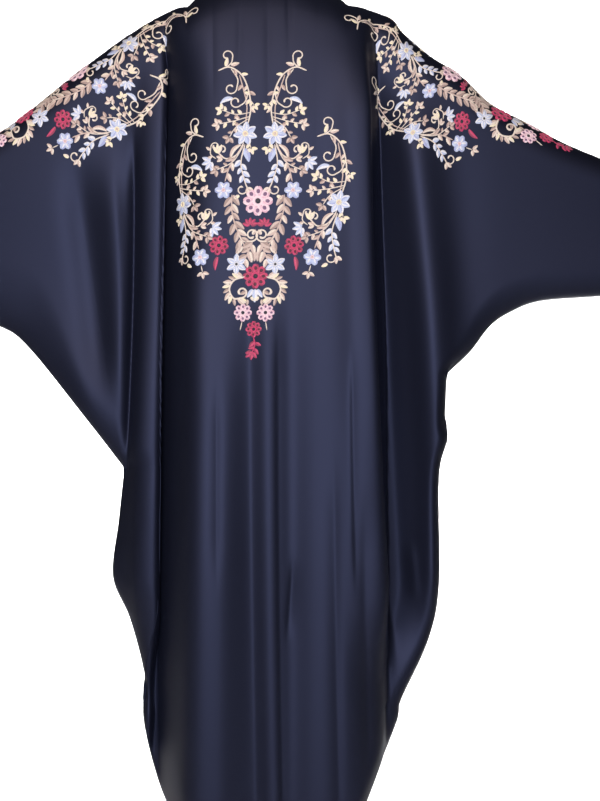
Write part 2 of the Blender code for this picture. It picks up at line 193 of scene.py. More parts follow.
frontFolds = table(foldColumns, [
    (-0.196, -0.216, -0.200, -0.160, -1.300, 0.034, 0.022, 0.010, 0.030, 0.20),
    (-0.172, -0.170, -0.164, -0.090, -1.500, 0.018, 0.018, -0.012, -0.034, 0.16),
    (-0.112, -0.122, -0.126, -0.420, -1.500, 0.026, 0.024, 0.008, 0.020, 0.24),
    (-0.074, -0.080, -0.082, -0.460, -1.500, 0.018, 0.018, -0.010, -0.018, 0.24),
    (-0.036, -0.040, -0.042, -0.400, -1.500, 0.022, 0.022, 0.008, 0.016, 0.24),
    (0.040, 0.042, 0.040, -0.420, -1.500, 0.020, 0.022, 0.008, 0.018, 0.24),
    (0.078, 0.082, 0.080, -0.380, -1.500, 0.017, 0.019, -0.010, -0.018, 0.24),
    (0.118, 0.126, 0.122, -0.430, -1.500, 0.026, 0.024, 0.008, 0.020, 0.24),
    (0.160, 0.172, 0.166, -0.120, -1.420, 0.017, 0.018, -0.012, -0.028, 0.18),
    (0.206, 0.240, 0.250, -0.180, -1.180, 0.024, 0.026, 0.012, 0.026, 0.18),
    (0.240, 0.266, 0.284, -0.280, -1.120, 0.014, 0.018, -0.012, -0.020, 0.16),
    (0.300, 0.296, 0.292, -0.260, -0.660, 0.020, 0.022, 0.010, 0.010, 0.12),
    (-0.318, -0.300, -0.276, -0.300, -0.790, 0.020, 0.018, -0.012, -0.010, 0.12),
    (-0.272, -0.256, -0.246, -0.280, -0.780, 0.022, 0.020, 0.010, 0.010, 0.12),
    (0.440, 0.425, 0.412, -0.330, -0.560, 0.022, 0.022, -0.008, -0.006, 0.08),
])
# the back's two crests that lean over the crease on their right: here the rise is the way moved sideways
backLeans = table(foldColumns, [
    (-0.178, -0.198, -0.206, -0.050, -1.500, 0.014, 0.009, 0.013, 0.019, 0.16),
    (0.168, 0.172, 0.204, -0.090, -1.180, 0.014, 0.009, 0.012, 0.017, 0.16),
])
# the back's narrow creases, pleats and neck gathers, with steeper sides than the folds
backCreases = table(foldColumns, [
    (-0.170, -0.189, -0.197, -0.050, -1.500, 0.005, 0.038, -0.046, -0.085, 0.16),
    (-0.226, -0.230, -0.242, -0.240, -0.880, 0.008, 0.008, -0.012, -0.020, 0.14),
    (0.178, 0.182, 0.212, -0.070, -1.220, 0.005, 0.042, -0.040, -0.058, 0.20),
    (-0.026, -0.022, -0.012, -0.440, -1.500, 0.020, 0.018, -0.003, -0.006, 0.16),
    (0.022, 0.024, 0.032, -0.560, -1.500, 0.004, 0.008, -0.0015, -0.0025, 0.16),
    (-0.080, -0.080, -0.080, -0.660, -1.060, 0.009, 0.009, -0.0025, -0.0025, 0.12),
    (0.116, 0.120, 0.127, -0.780, -1.500, 0.013, 0.011, -0.0030, -0.0045, 0.16),
    (0.146, 0.149, 0.154, -0.620, -1.060, 0.004, 0.016, -0.0030, -0.0030, 0.10),
    (0.166, 0.170, 0.178, -0.860, -1.420, 0.010, 0.010, -0.0035, -0.0045, 0.12),
    (0.048, 0.043, 0.036, -0.980, -1.130, 0.004, 0.009, -0.0030, -0.0030, 0.05),
    (0.252, 0.258, 0.262, -0.960, -1.080, 0.012, 0.006, 0.0030, 0.0030, 0.04),
    (-0.090, -0.088, -0.086, -0.010, -0.240, 0.007, 0.007, -0.0018, -0.0010, 0.10),
    (-0.042, -0.044, -0.052, 0.000, -0.300, 0.006, 0.008, -0.0022, -0.0010, 0.12),
    (0.006, 0.006, 0.010, 0.000, -0.330, 0.006, 0.008, -0.0024, -0.0010, 0.12),
    (0.038, 0.040, 0.042, 0.020, -0.180, 0.004, 0.005, -0.0050, -0.0010, 0.10),
])

ridges = {side: smoothCurve(points) for side, points in shoulderLine.items()}
underarms = {side: smoothCurve(points) for side, points in underarmSeam.items()}
sides = {side: smoothCurve(points) for side, points in sideSeam.items()}
seamSamples = np.vstack([
    alongCurve(np.vstack([underarms[side], sides[side][1:]]), np.linspace(0, 1, 500)) for side in (-1, 1)
])


# height of the shoulder line, and across the neck the dome that the neckline is cut from
def shoulderHeight(x):
    left = np.interp(-x, -ridges[-1][:, 0], ridges[-1][:, 1])
    right = np.interp(x, ridges[1][:, 0], ridges[1][:, 1])
    dome = cloakCut["neckDomeRise"] * (1 - (x / cloakCut["neckHalfWidth"]) ** 2)
    return np.where(np.abs(x) < cloakCut["neckHalfWidth"], dome, np.where(x < 0, left, right))


# the body levels every 2 mm, rounded off by a bell-shaped mean over 16 cm
levelHeights = np.linspace(-1.60, 0.12, 861)
levelBlend = np.hanning(81) / np.hanning(81).sum()
smoothLevels = {}
for name, column in bodyLevels.items():
    level = np.interp(levelHeights, bodyLevels["z"], column)
    smoothLevels[name] = np.convolve(np.pad(level, 40, mode="edge"), levelBlend, "valid")


# a column of the body's table at height z
def byLevel(z, column):
    return np.interp(z, levelHeights, smoothLevels[column])


# a column of the sleeve's table at distance x from the middle
def bySleeve(x, column):
    return np.interp(np.abs(x), sleeveLevels["x"], sleeveLevels[column])


# shortest distance in the middle plane to the underarm and side seams
def seamDistance(x, z):
    flat = np.stack([x.ravel(), z.ravel()], axis=1).astype(np.float32)
    nearest = np.empty(len(flat), dtype=np.float32)
    for part in np.array_split(np.arange(len(flat)), max(1, len(flat) // 20000)):
        gap = flat[part][:, None, :] - seamSamples.astype(np.float32)[None, :, :]
        nearest[part] = np.sqrt((gap**2).sum(axis=2).min(axis=1))
    return nearest.reshape(x.shape).astype(float)


# sum of bells: each rises or sinks exp(-|distance / width|^power) off its path, and fades in and out along it
def foldRise(x, z, folds, power=2.0):
    total = np.zeros_like(x)
    for k in range(len(folds["xTop"])):
        fold = {name: column[k] for name, column in folds.items()}
        t = np.clip((fold["zTop"] - z) / (fold["zTop"] - fold["zFoot"]), 0, 1)
        path = (fold["xTop"] * (1 - t) * (1 - 2 * t) + fold["xMiddle"] * 4 * t * (1 - t)
                + fold["xFoot"] * t * (2 * t - 1))
        off = x - path
        width = np.where(off < 0, fold["left"], fold["right"])
        grown = smoothStep(cloakCut["foldGrowth"] * t)
        rise = fold["riseTop"] + (fold["riseFoot"] - fold["riseTop"]) * grown
        starts = smoothStep((fold["zTop"] - z) / fold["fade"])
        ends = 1.0 if fold["zFoot"] < -cloakCut["length"] else smoothStep((z - fold["zFoot"]) / fold["fade"])
        total += rise * starts * ends * np.exp(-np.abs(off / width) ** power)
    return total


# how far the middle of the cloak stands forward: the sleeves' sweep, which grows outwards from 0.22 of their
# reach and upwards from z = -0.95, plus the sides' swing, a sine down the cloak from x = 0.12 and z = -0.30
def sideways(x, z):
    cut = cloakCut
    reach = np.abs(x) / cut["cuffReach"]
    sweep = cut["sleeveSweep"] * smoothStep((reach - 0.22) / 0.95) * smoothStep((z + 0.95) / 0.35)
    wave = np.sin(cut["swingPerMetre"] * z + cut["swingShift"] * np.sign(x))
    swing = cut["sideSwing"] * wave * smoothStep((np.abs(x) - 0.12) / 0.2)
    return sweep + swing * smoothStep((-0.30 - z) / 0.4)


# depth of the cloth off the middle plane: superellipse body and hanging sleeve joined by a power mean,
# plus folds, then rounded over the shoulder line by sqrt(1 - (1 - t)^topPower) and closed to the seams by
# (1 - (1 - t)^p)^(1/p) with p = edgePower, each t being the share of the round that is reached
def clothDepth(x, z, face, seamGap):
    cut = cloakCut
    drop = np.maximum(shoulderHeight(x) - z, 0)
    roundness = cut["bodyPower"][face]
    half = byLevel(z, "halfWidth") * (cut["rightFullness"] if face == "back" else 1.0) ** (x > 0)
    body = byLevel(z, face) * np.maximum(1 - np.abs(x / half) ** roundness, 0) ** (1 / roundness)
    hang = bySleeve(x, "halfDepth") * (1 - cut["hangTaper"] * smoothStep(drop / cut["hangTaperDrop"]))
    power = cut["joinPower"]
    depth = (body**power + hang**power) ** (1 / power)
    depth = depth + foldRise(x, z, backFolds if face == "back" else frontFolds)
    if face == "back":
        depth = depth + foldRise(x, z, backCreases, cut["creasePower"])
    depth = (np.maximum(depth, 0) ** power + cut["leastDepth"] ** power) ** (1 / power)
    overTop = np.clip(drop / (cut["topReach"] * bySleeve(x, "topRound")), 0, 1)
    bodyShare, wingShare = (np.where(x < 0, *cut[name][face]) for name in ("bodyEdge", "wingEdge"))
    share = bodyShare + (wingShare - bodyShare) * smoothStep((np.abs(x) - cut["wingFrom"]) / cut["wingBlend"])
    edge = np.clip(seamGap / (share * byLevel(z, "edge")), 0, 1)
    closing = (1 - (1 - edge) ** cut["edgePower"][face]) ** (1 / cut["edgePower"][face])
    depth = depth * np.sqrt(1 - (1 - overTop) ** cut["topPower"]) * closing
    return np.maximum(depth, cut["edgeDepth"])


# a point of the cloth's outer skin over (x, z), moved sideways where a crest leans
def clothPoint(x, z, face):
    cut = cloakCut
    outward = -1 if face == "back" else 1
    seamGap = seamDistance(x, z)
    across = x
    if face == "back":
        fromTop = shoulderHeight(x) - z
        free = smoothStep(seamGap / cut["leanSeamGap"]) * smoothStep(fromTop / cut["leanTopGap"])
        across = x + free * foldRise(x, z, backLeans)
    return np.stack([across, outward * clothDepth(x, z, face, seamGap) + sideways(x, z), z], axis=-1)


# name, columns, x of the top from and to, and x of the foot from and to, for each stretch of a panel's half;
# a foot may lie on the side or the underarm seam instead
panelRegions = {
    -1: [("neck", 42, 0.0, 0.089, 0.0, 0.080), ("shoulder", 36, 0.089, 0.170, 0.080, 0.149),
         ("side", 66, 0.170, 0.360, "side", "side"), ("sleeve", 40, 0.360, 0.728, "underarm", "underarm")],
    1: [("neck", 42, 0.0, 0.089, 0.0, 0.078), ("shoulder", 34, 0.089, 0.170, 0.078, 0.145),
        ("side", 76, 0.170, 0.420, "side", "side"), ("sleeve", 34, 0.420, 0.728, "underarm", "underarm")],
}


# top, knee and foot of each column: to the side seam it bends at a knee level with the underarm corner
def columnEnds(side, neckDrop, centreGap):
    cut = cloakCut
    corner = sides[side][0]
    tops, knees, feet = [], [], []
    for name, count, topFrom, topTo, footFrom, footTo in panelRegions[side]:
        share = np.linspace(0, 1, count + 1)
        knee = np.full_like(share, np.nan)
        if name == "neck":
            x = centreGap[0] + (cut["neckHalfWidth"] - centreGap[0]) * np.sin(share * np.pi / 2)
            neckline = -neckDrop * (1 - (x / cut["neckHalfWidth"]) ** cut["necklinePower"])
            top = np.stack([side * x, neckline], axis=1)
        else:
            x = side * (topFrom + (topTo - topFrom) * share)
            top = np.stack([x, shoulderHeight(x)], axis=1)
        if footFrom == "side":
            foot = alongCurve(sides[side], 1 - share)
            first = (top[0, 1] - corner[1]) / (top[0, 1] - foot[0, 1])
            innerKnee = top[0, 0] + (foot[0, 0] - top[0, 0]) * first
            knee = innerKnee + (corner[0] - innerKnee) * share
        elif footFrom == "underarm":
            foot = alongCurve(underarms[side], 1 - share)
        else:
            start = max(footFrom, centreGap[1])
            hem = np.full_like(share, -cut["length"])
            foot = np.stack([side * (start + (footTo - start) * share), hem], axis=1)
        kept = 1 if tops else 0
        tops.append(top[kept:])
        knees.append(knee[kept:])
        feet.append(foot[kept:])
    return np.vstack(tops), np.concatenate(knees), np.vstack(feet)


# x of each column at heights z: two straight runs joined at the knee by a hyperbola
def bentColumns(tops, knees, feet, z, kneeHeight):
    down = (tops[:, 1] - z) / (tops[:, 1] - feet[:, 1])
    straight = tops[:, 0] + (feet[:, 0] - tops[:, 0]) * down
    below = np.minimum(feet[:, 1] - kneeHeight, -1e-6)
    upper = (tops[:, 0] - knees) / (tops[:, 1] - kneeHeight)
    lower = np.where(below < -1e-5, (feet[:, 0] - knees) / below, upper)
    softness = cloakCut["kneeSoftness"] * np.minimum(-below, cloakCut["kneeReach"])

    def run(height):
        off = height - kneeHeight
        return knees + 0.5 * (upper + lower) * off + 0.5 * (upper - lower) * np.sqrt(off**2 + softness**2)

    topError = run(tops[:, 1]) - tops[:, 0]
    footError = run(feet[:, 1]) - feet[:, 0]
    bent = run(z) - topError * (1 - down) - footError * down
    return np.where(np.isnan(knees), straight, bent)


# rows of the grid: nearly equal angles over the round of the shoulder line, then equal steps to the foot
def clothRows(tops, knees, feet):
    cut = cloakCut
    ridge = np.maximum(shoulderHeight(tops[:, 0]), tops[:, 1])
    roundBy = bySleeve(tops[:, 0], "topRound")
    start = np.minimum(np.arccos(np.clip(1 - (ridge - tops[:, 1]) / roundBy, -1, 1)), np.pi / 2 - 0.2)
    share = (np.linspace(0, 1, cut["topRows"]) ** cut["topSpread"])[:, None]
    angle = start + (np.pi / 2 - start) * share
    drop = roundBy * (1 - np.cos(angle)) - roundBy * (1 - np.cos(start))
    fall = tops[:, 1] - feet[:, 1]
    step = (np.arange(1, cut["lowerRows"] + 1) / cut["lowerRows"])[:, None]
    lower = drop[-1] + (fall - drop[-1]) * step
    z = tops[:, 1] - np.vstack([drop, lower])
    corner = np.where(tops[:, 0] < 0, sides[-1][0, 1], sides[1][0, 1])
    return bentColumns(tops, knees, feet, z, corner), z


# unit normals of a grid of points, from the cross product of its two directions
def gridNormals(points):
    return unit(np.cross(np.gradient(points, axis=1), np.gradient(points, axis=0)))


# quads of a grid with rows x columns points, wound the same way everywhere
def gridFaces(rows, columns, offset=0):
    at = np.arange(rows * columns).reshape(rows, columns) + offset
    return np.stack([at[:-1, :-1], at[:-1, 1:], at[1:, 1:], at[1:, :-1]], axis=-1).reshape(-1, 4)


# a smooth mesh of quads from arrays, with a UV pair for each point and a material number for each face
def meshObject(name, points, faces, materials, uv=None, faceMaterial=None, layerName="cloth"):
    mesh = bpy.data.meshes.new(name)
    mesh.vertices.add(len(points))
    mesh.vertices.foreach_set("co", np.ascontiguousarray(points, dtype=np.float32).ravel())
    mesh.loops.add(faces.size)
    mesh.loops.foreach_set("vertex_index", np.ascontiguousarray(faces, dtype=np.int32).ravel())
    mesh.polygons.add(len(faces))
    mesh.polygons.foreach_set("loop_start", np.arange(0, faces.size, 4, dtype=np.int32))
    if faceMaterial is not None:
        mesh.polygons.foreach_set("material_index", np.ascontiguousarray(faceMaterial, dtype=np.int32))
    mesh.update(calc_edges=True)
    for material in materials:
        mesh.materials.append(material)
    if uv is not None:
        layer = mesh.uv_layers.new(name=layerName)
        layer.uv.foreach_set("vector", np.ascontiguousarray(uv[faces.ravel()], dtype=np.float32).ravel())
    mesh.shade_smooth()
    piece = bpy.data.objects.new(name, mesh)
    scene.collection.objects.link(piece)
    return piece


# sRGB hex to linear colour
def linear(hexColour):
    value = np.array([int(hexColour[k:k + 2], 16) for k in (1, 3, 5)]) / 255
    return tuple(np.where(value <= 0.04045, value / 12.92, ((value + 0.055) / 1.055) ** 2.4)) + (1.0,)


# adds a node, sets its properties, and fills or links its inputs
def addNode(tree, kind, inputs=None, **settings):
    node = tree.nodes.new(kind)
    for name, value in settings.items():
        setattr(node, name, value)
    for name, value in (inputs or {}).items():
        if isinstance(value, bpy.types.NodeSocket):
            tree.links.new(value, node.inputs[name])
        else:
            node.inputs[name].default_value = value
    return node


# a material with its node tree and its surface shader
def newMaterial(name):
    material = bpy.data.materials.new(name)
    material.use_nodes = True
    return material, material.node_tree, material.node_tree.nodes["Principled BSDF"]


waveScale = 0.314  # over a spacing in metres it gives the wave node bands that far apart

crepeFinish = {
    "navy": "#0a0c16",
    "duskNavy": "#0c0f1a",  # the two drift into each other over about 20 cm
    "threadSpacing": 0.0009,  # real yarns lie 0.25 mm apart, drawn coarser so that they show
    "pebbleScale": 1100.0,  # pebbles 0.9 mm across, for the same reason
    "roughness": 0.56,
    "sheen": 0.015,
    "sheenTint": "#7482c4",
    "gloss": 0.6,
    "glossTint": "#aebaf5",
    "weaveHeight": 0.00004,
}


# woven polyester satin crepe: long floats give the soft bluish sheen, twisted yarns the fine pebble
def satinCrepe():
    look = crepeFinish
    material, tree, shader = newMaterial("wovenSatinCrepe")
    uv = addNode(tree, "ShaderNodeUVMap", uv_map="cloth")
    place = addNode(tree, "ShaderNodeTexCoord")
    cloud = addNode(tree, "ShaderNodeTexNoise",
                    {"Vector": place.outputs["Object"], "Scale": 5.0, "Detail": 3.0})
    tone = addNode(tree, "ShaderNodeMix", {"Factor": cloud.outputs["Fac"], "A": linear(look["navy"]),
                                           "B": linear(look["duskNavy"])}, data_type="RGBA")
    weave = addNode(tree, "ShaderNodeTexWave",
                    {"Vector": uv.outputs["UV"], "Scale": waveScale / look["threadSpacing"],
                     "Distortion": 0.6, "Detail": 1.0}, bands_direction="DIAGONAL")
    pebble = addNode(tree, "ShaderNodeTexNoise",
                     {"Vector": uv.outputs["UV"], "Scale": look["pebbleScale"], "Detail": 2.0})
    grain = addNode(tree, "ShaderNodeMath", {0: weave.outputs["Fac"], 1: pebble.outputs["Fac"]},
                    operation="ADD")
    bump = addNode(tree, "ShaderNodeBump", {"Height": grain.outputs[0], "Strength": 0.35,
                                            "Distance": look["weaveHeight"]})
    tree.links.new(tone.outputs["Result"], shader.inputs["Base Color"])
    tree.links.new(bump.outputs["Normal"], shader.inputs["Normal"])
    shader.inputs["Roughness"].default_value = look["roughness"]
    shader.inputs["Sheen Weight"].default_value = look["sheen"]
    shader.inputs["Sheen Roughness"].default_value = 0.4
    shader.inputs["Sheen Tint"].default_value = linear(look["sheenTint"])
    shader.inputs["Specular IOR Level"].default_value = look["gloss"]
    shader.inputs["Specular Tint"].default_value = linear(look["glossTint"])
    return material


# one panel: outer skin on the folds, inner skin a cloth's thickness further in, joined round the rim
def buildPanel(name, panelSides, face, neckDrop, centreGap, material):
    cut = cloakCut
    outward = -1 if face == "back" else 1
    columns = []
    for side in panelSides:
        ends = [part[::side] for part in columnEnds(side, neckDrop, centreGap)]
        columns.append(ends if not columns else [part[1:] for part in ends])
    tops, knees, feet = (np.concatenate(parts) for parts in zip(*columns))
    x, z = clothRows(tops, knees, feet)
    outer = clothPoint(x, z, face)
    onRidge = np.abs(tops[:, 0]) >= cut["neckHalfWidth"] - 1e-9
    onSeam = feet[:, 1] > -cut["length"] + 1e-9
    hemEnds = ~onSeam & (seamDistance(feet[:, 0], feet[:, 1]) < 1e-3)
    closed = onSeam | hemEnds
    middle = sideways(x, z)
    outer[0, onRidge, 1] = outward * cut["edgeDepth"] + middle[0, onRidge]
    outer[-1, closed, 1] = outward * cut["edgeDepth"] + middle[-1, closed]
    normal = gridNormals(outer)
    normal *= np.sign(normal[..., 1:2].sum()) * outward
    normal[0, onRidge] = (0, 0, 1)
    seamRun = np.gradient(np.stack([x[-1], z[-1]], axis=1), axis=0)
    beside = unit(np.stack([seamRun[:, 1], -seamRun[:, 0]], axis=1))
    beside *= np.sign(np.where(np.abs(x[-1]) > 0.4, -beside[:, 1], np.sign(x[-1]) * beside[:, 0]))[:, None]
    normal[-1, closed] = np.stack([beside[:, 0], np.zeros(len(beside)), beside[:, 1]], axis=1)[closed]
    normal[-1, ~closed, 2] = 0
    normal[-1] = unit(normal[-1])
    inner = outer - cut["clothThickness"] * normal
    innerMiddle = sideways(inner[..., 0], inner[..., 2])
    innerDepth = np.maximum(outward * (inner[..., 1] - innerMiddle), cut["edgeDepth"])
    inner[..., 1] = outward * innerDepth + innerMiddle
    inner[-1, hemEnds, 2] = -cut["length"]
    rows, count = x.shape
    outside = gridFaces(rows, count)
    inside = outside[:, [0, 3, 2, 1]] + rows * count
    at = np.arange(rows * count).reshape(rows, count)
    loop = np.concatenate([at[0, :-1], at[:-1, -1], at[-1, :0:-1], at[:0:-1, 0]])
    after = np.roll(loop, -1)
    rim = np.stack([after, loop, loop + rows * count, after + rows * count], axis=1)
    faces = np.vstack([outside, inside, rim])
    if face == "back":
        faces = faces[:, [0, 3, 2, 1]]
    across = rowRuns(outer)
    across -= across[:, [count // 2]]
    down = rowRuns(outer.transpose(1, 0, 2)).T
    uv = np.stack([across, down], axis=-1).reshape(-1, 2)
    points = np.vstack([outer.reshape(-1, 3), inner.reshape(-1, 3)])
    cells = np.cross(outer[1:, :-1] - outer[:-1, :-1], outer[:-1, 1:] - outer[:-1, :-1])
    area = np.linalg.norm(cells, axis=2).sum()
    print(name, "has", len(faces), "quads and", round(float(area), 3), "square metres of cloth")
    return meshObject(name, points, faces, [material], uv=np.vstack([uv, uv])), float(area)


crepe = satinCrepe()
closedCentre = (0.0, 0.0)
openCentre = (cloakCut["frontGapTop"] / 2, cloakCut["frontGapHem"] / 2)
panelPlan = [
    ("backPanel", "back", (-1, 1), "back", cloakCut["backNeckDrop"], closedCentre, (1.52, 1.52)),
    ("frontLeftPanel", "front_left", (-1,), "front", cloakCut["frontNeckDrop"], openCentre, (0.78, 1.52)),
    ("frontRightPanel", "front_right", (1,), "front", cloakCut["frontNeckDrop"], openCentre, (0.78, 1.52)),
]
for name, node, panelSides, face, neckDrop, centreGap, flat in panelPlan:
    panel, area = buildPanel(name, panelSides, face, neckDrop, centreGap, crepe)
    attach(panel, "root")
    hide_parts(node)
print("cloth panels made")


# ordinary flowers, leaves and scrolls, drawn here in millimetres: a to the right, b down, headings clockwise
needlework = {
    "scale": 0.96,  # of the drawing on the cloth
    "chartHalfWidth": 215,
    "chartStep": 2.5,  # of the grid of cloth places that the drawing is laid on
    "leafBreadth": 0.58,
    "stemBreadth": 1.5,
    "threadSlant": 0.8,
    "rise": 0.9,  # how far the padded stitches stand over the cloth
    "sink": -0.5,  # how far their edges pull into it
    "threadSpacing": 0.0007,  # real threads lie 0.3 mm apart, drawn coarser so that they show
    "roughness": 0.38,
    "sheen": 0.3,
    "threads": {
        "cream": "#e8ddd2",
        "butter": "#f3ebcb",
        "fawn": "#cfbab3",
        "taupe": "#a48f8a",
        # taupe, rose and crimson are painted shade: darker tones of fawn, blossom and raspberry, stitched
        # only on the shaded halves of leaves and petals
        "periwinkle": "#a3aedc",
        "sky": "#bccaec",
        "lilacWhite": "#e4e7f2",
        "blossom": "#f4dae6",
        # painted shade: a darker blossom for the shaded halves of petals
        "rose": "#e0b3c8",
        "mauve": "#74557a",
        "raspberry": "#cb3a6c",
        # painted shade: a darker raspberry for the shaded halves of leaves and petals
        "crimson": "#952750",
        "wine": "#4f1030",
        "night": "#141626",
    },
    # painted light and shade: the thread of each leaf's second half, of another tone than the first so that
    # one half reads as lit and the other as shaded
    "paintedShadeHalves": {
        "cream": "fawn", "butter": "cream", "fawn": "taupe", "periwinkle": "sky", "sky": "lilacWhite",
        "lilacWhite": "sky", "blossom": "rose", "raspberry": "crimson",
    },
}
# points across a leaf or a stem, and how high each stands
leafAcross = np.array([-1.0, -0.55, 0.0, 0.55, 1.0])
leafDome = np.array([0.0, 0.95, 0.6, 0.95, 0.0])
stemDome = np.array([0.0, 0.75, 1.0, 0.75, 0.0])


# unit step in the direction of a heading
def toward(heading):
    turn = np.radians(heading)
    return np.stack([np.cos(turn), np.sin(turn)], axis=-1)


# height of stitches whose dome runs from 0 at the edge to 1
def padded(dome):
    return needlework["sink"] + (needlework["rise"] - needlework["sink"]) * dome


# a leaf: half width sin(pi t^0.8)^fullness, bowed sideways by 4t(1 - t), threads slanted to its vein,
# its two halves in two threads of different tone, a painted light and shade with one half drawn as lit and
# the other as shaded
def leaf(foot, heading, length, width, thread, bow=0.0, fullness=0.85):
    t = np.linspace(0, 1, 9)[:, None]
    half = needlework["leafBreadth"] * width * np.sin(np.pi * t**0.8) ** fullness
    aside = bow * 4 * t * (1 - t) + leafAcross * half
    plane = np.array(foot) + length * t[..., None] * toward(heading) + aside[..., None] * toward(heading + 90)
    height = padded(leafDome * np.sin(np.pi * t) ** 0.35)
    slant = needlework["threadSlant"] * np.abs(leafAcross) * half
    stitch = np.stack([length * t - slant, leafAcross * half], axis=-1)
    grid = np.dstack([plane, height])
    # the second half takes the paired thread: painted light and shade across the vein
    return [(grid[:, :3], stitch[:, :3], thread), (grid[:, 2:], stitch[:, 2:], needlework["paintedShadeHalves"][thread])]


# a stem: a ribbon along a smooth curve, which a coil of (radius, turns, hand) carries on inwards by short
# steps that each turn it 12 degrees; it starts and ends narrower, but a coil ends in a knob
def stem(points, width, thread, coil=None):
    line = smoothCurve(points, 8)
    if coil:
        radius, turns, hand = coil
        count = int(30 * turns)
        share = np.arange(1, count + 1) / count
        arrive = line[-1] - line[-2]
        heading = math.degrees(math.atan2(arrive[1], arrive[0])) + hand * 360 * turns * share
        stride = radius * (1 - 0.62 * share) * 2 * np.pi / 30
        line = np.vstack([line, line[-1] + np.cumsum(stride[:, None] * toward(heading), axis=0)])
    ahead = unit(np.gradient(line, axis=0))
    beside = np.stack([-ahead[:, 1], ahead[:, 0]], axis=1)
    run = runAlong(line)
    left = run[-1] - run
    width = needlework["stemBreadth"] * width
    taper = np.minimum(1, 0.5 + run / 8) * np.minimum(1, 0.35 + left / 6)
    if coil:
        taper = np.minimum(1, 0.5 + run / 8) * (1 + 0.5 * np.exp(-((left - width) / width) ** 2))
        taper *= np.sqrt(np.minimum(1, left / width))
    half = 0.5 * width * taper[:, None]
    plane = line[:, None, :] + (leafAcross * half)[..., None] * beside[:, None, :]
    height = padded(0.85 * stemDome * np.minimum(1, taper[:, None]) ** 0.5)
    slant = needlework["threadSlant"] * leafAcross * half
    stitch = np.stack([run[:, None] + slant, leafAcross * half], axis=-1)
    return [(np.dstack([plane, height]), stitch, thread)]


# leaves at shares of a curve's length, turned off it by spread degrees to each side in turn
def leavesAlong(points, shares, length, width, threads, spread=46, hands=(1, -1)):
    line = smoothCurve(points, 8)
    shares = np.array(shares, dtype=float)
    ahead = alongCurve(line, np.minimum(shares + 0.02, 1)) - alongCurve(line, np.maximum(shares - 0.02, 0))
    headings = np.degrees(np.arctan2(ahead[:, 1], ahead[:, 0]))
    made = []
    for k, (foot, heading) in enumerate(zip(alongCurve(line, shares), headings)):
        size = 1 - 0.1 * (k % 3)
        made += leaf(foot, heading + hands[k % len(hands)] * spread, length * size, width * size,
                     threads[k % len(threads)])
    return made


# leaves from one foot, fanned about a heading
def fan(foot, headings, length, width, thread):
    return [patch for heading in headings for patch in leaf(foot, heading, length, width, thread)]


# a twig: a fine stem with leaves along it and three leaves at its end
def twig(points, threads, shares=(0.3, 0.45, 0.6, 0.78), size=13.0):
    line = smoothCurve(points, 8)
    ahead = line[-1] - line[-2]
    heading = math.degrees(math.atan2(ahead[1], ahead[0]))
    made = stem(points, 1.6, "cream")
    made += leavesAlong(points, shares, 0.9 * size, 0.5 * size, threads, spread=52)
    return made + fan(line[-1], (heading - 66, heading, heading + 66), size, 0.56 * size, threads[0])


# a padded disc: the square grid (u, v) pressed to a circle by u sqrt(1 - v^2 / 2), v sqrt(1 - u^2 / 2)
def disc(centre, radius, thread, lift=0.0, cells=4):
    line = np.linspace(-1, 1, cells + 1)
    u, v = np.meshgrid(line, line)
    x, y = u * np.sqrt(1 - v**2 / 2), v * np.sqrt(1 - u**2 / 2)
    height = padded(np.sqrt(np.maximum(1 - x**2 - y**2, 0))) + lift
    plane = np.array(centre) + radius * np.stack([x, y], axis=-1)
    return [(np.dstack([plane, height]), radius * np.stack([x, y], axis=-1), thread)]


# a ring of satin stitch
def ring(centre, radius, width, thread, lift=0.0, steps=16):
    turn = np.linspace(0, 360, steps + 1)
    aside = 0.5 * width * leafAcross
    plane = np.array(centre) + (radius + aside)[None, :, None] * toward(turn)[:, None, :]
    height = np.tile(padded(stemDome) + lift, (steps + 1, 1))
    stitch = np.stack(np.broadcast_arrays(radius * np.radians(turn)[:, None], aside), axis=-1)
    return [(np.dstack([plane, height]), stitch, thread)]


# a flower of petals round a knotted eye, each petal stitched over a wider one that edges it
def petalFlower(centre, radius, petals, edge, threads, eye, turn=0.0, fullness=0.85, breadth=0.42):
    made = []
    for k in range(petals):
        heading = turn + 360 * k / petals
        foot = np.array(centre) + 0.13 * radius * toward(heading)
        inner = np.array(centre) + 0.2 * radius * toward(heading)
        made += leaf(foot, heading, 0.88 * radius, breadth * radius, edge, fullness=fullness)
        for grid, stitch, thread in leaf(inner, heading, 0.62 * radius, 0.6 * breadth * radius,
                                         threads[k % len(threads)], fullness=fullness):
            made.append((grid + (0, 0, 0.35), stitch, thread))
    made += ring(centre, 0.17 * radius, 0.12 * radius, eye[0], lift=0.6)
    return made + disc(centre, 0.13 * radius, eye[1], lift=0.5, cells=2)


# an eyelet rosette: eight rounded petals, each with a dark eyelet in a light ring, round an open middle
def rosette(centre, radius, petal, eyelet, turn=0.0):
    made = []
    for heading in turn + 45 * np.arange(8):
        spot = np.array(centre) + 0.63 * radius * toward(heading)
        foot = np.array(centre) + 0.22 * radius * toward(heading)
        made += leaf(foot, heading, 0.8 * radius, 0.62 * radius, petal, fullness=0.36)
        made += disc(spot, 0.16 * radius, eyelet, lift=0.5, cells=4)
        made += ring(spot, 0.185 * radius, 0.07 * radius, petal, lift=0.75, steps=14)
    made += ring(centre, 0.27 * radius, 0.2 * radius, petal, lift=0.35, steps=24)
    return made + disc(centre, 0.17 * radius, "night", lift=0.1, cells=4)


# drawn patches turned about (0, 0), mirrored when asked, then moved
def placed(patches, at, turn=0.0, mirrored=False):
    along, down = toward(turn), toward(turn + 90)
    moved = []
    for grid, stitch, thread in patches:
        a, b = grid[..., 0], grid[..., 1]
        across = (a * along[0] + b * down[0]) * (-1 if mirrored else 1)
        below = a * along[1] + b * down[1]
        moved.append((np.dstack([at[0] + across, at[1] + below, grid[..., 2]]), stitch, thread))
    return moved


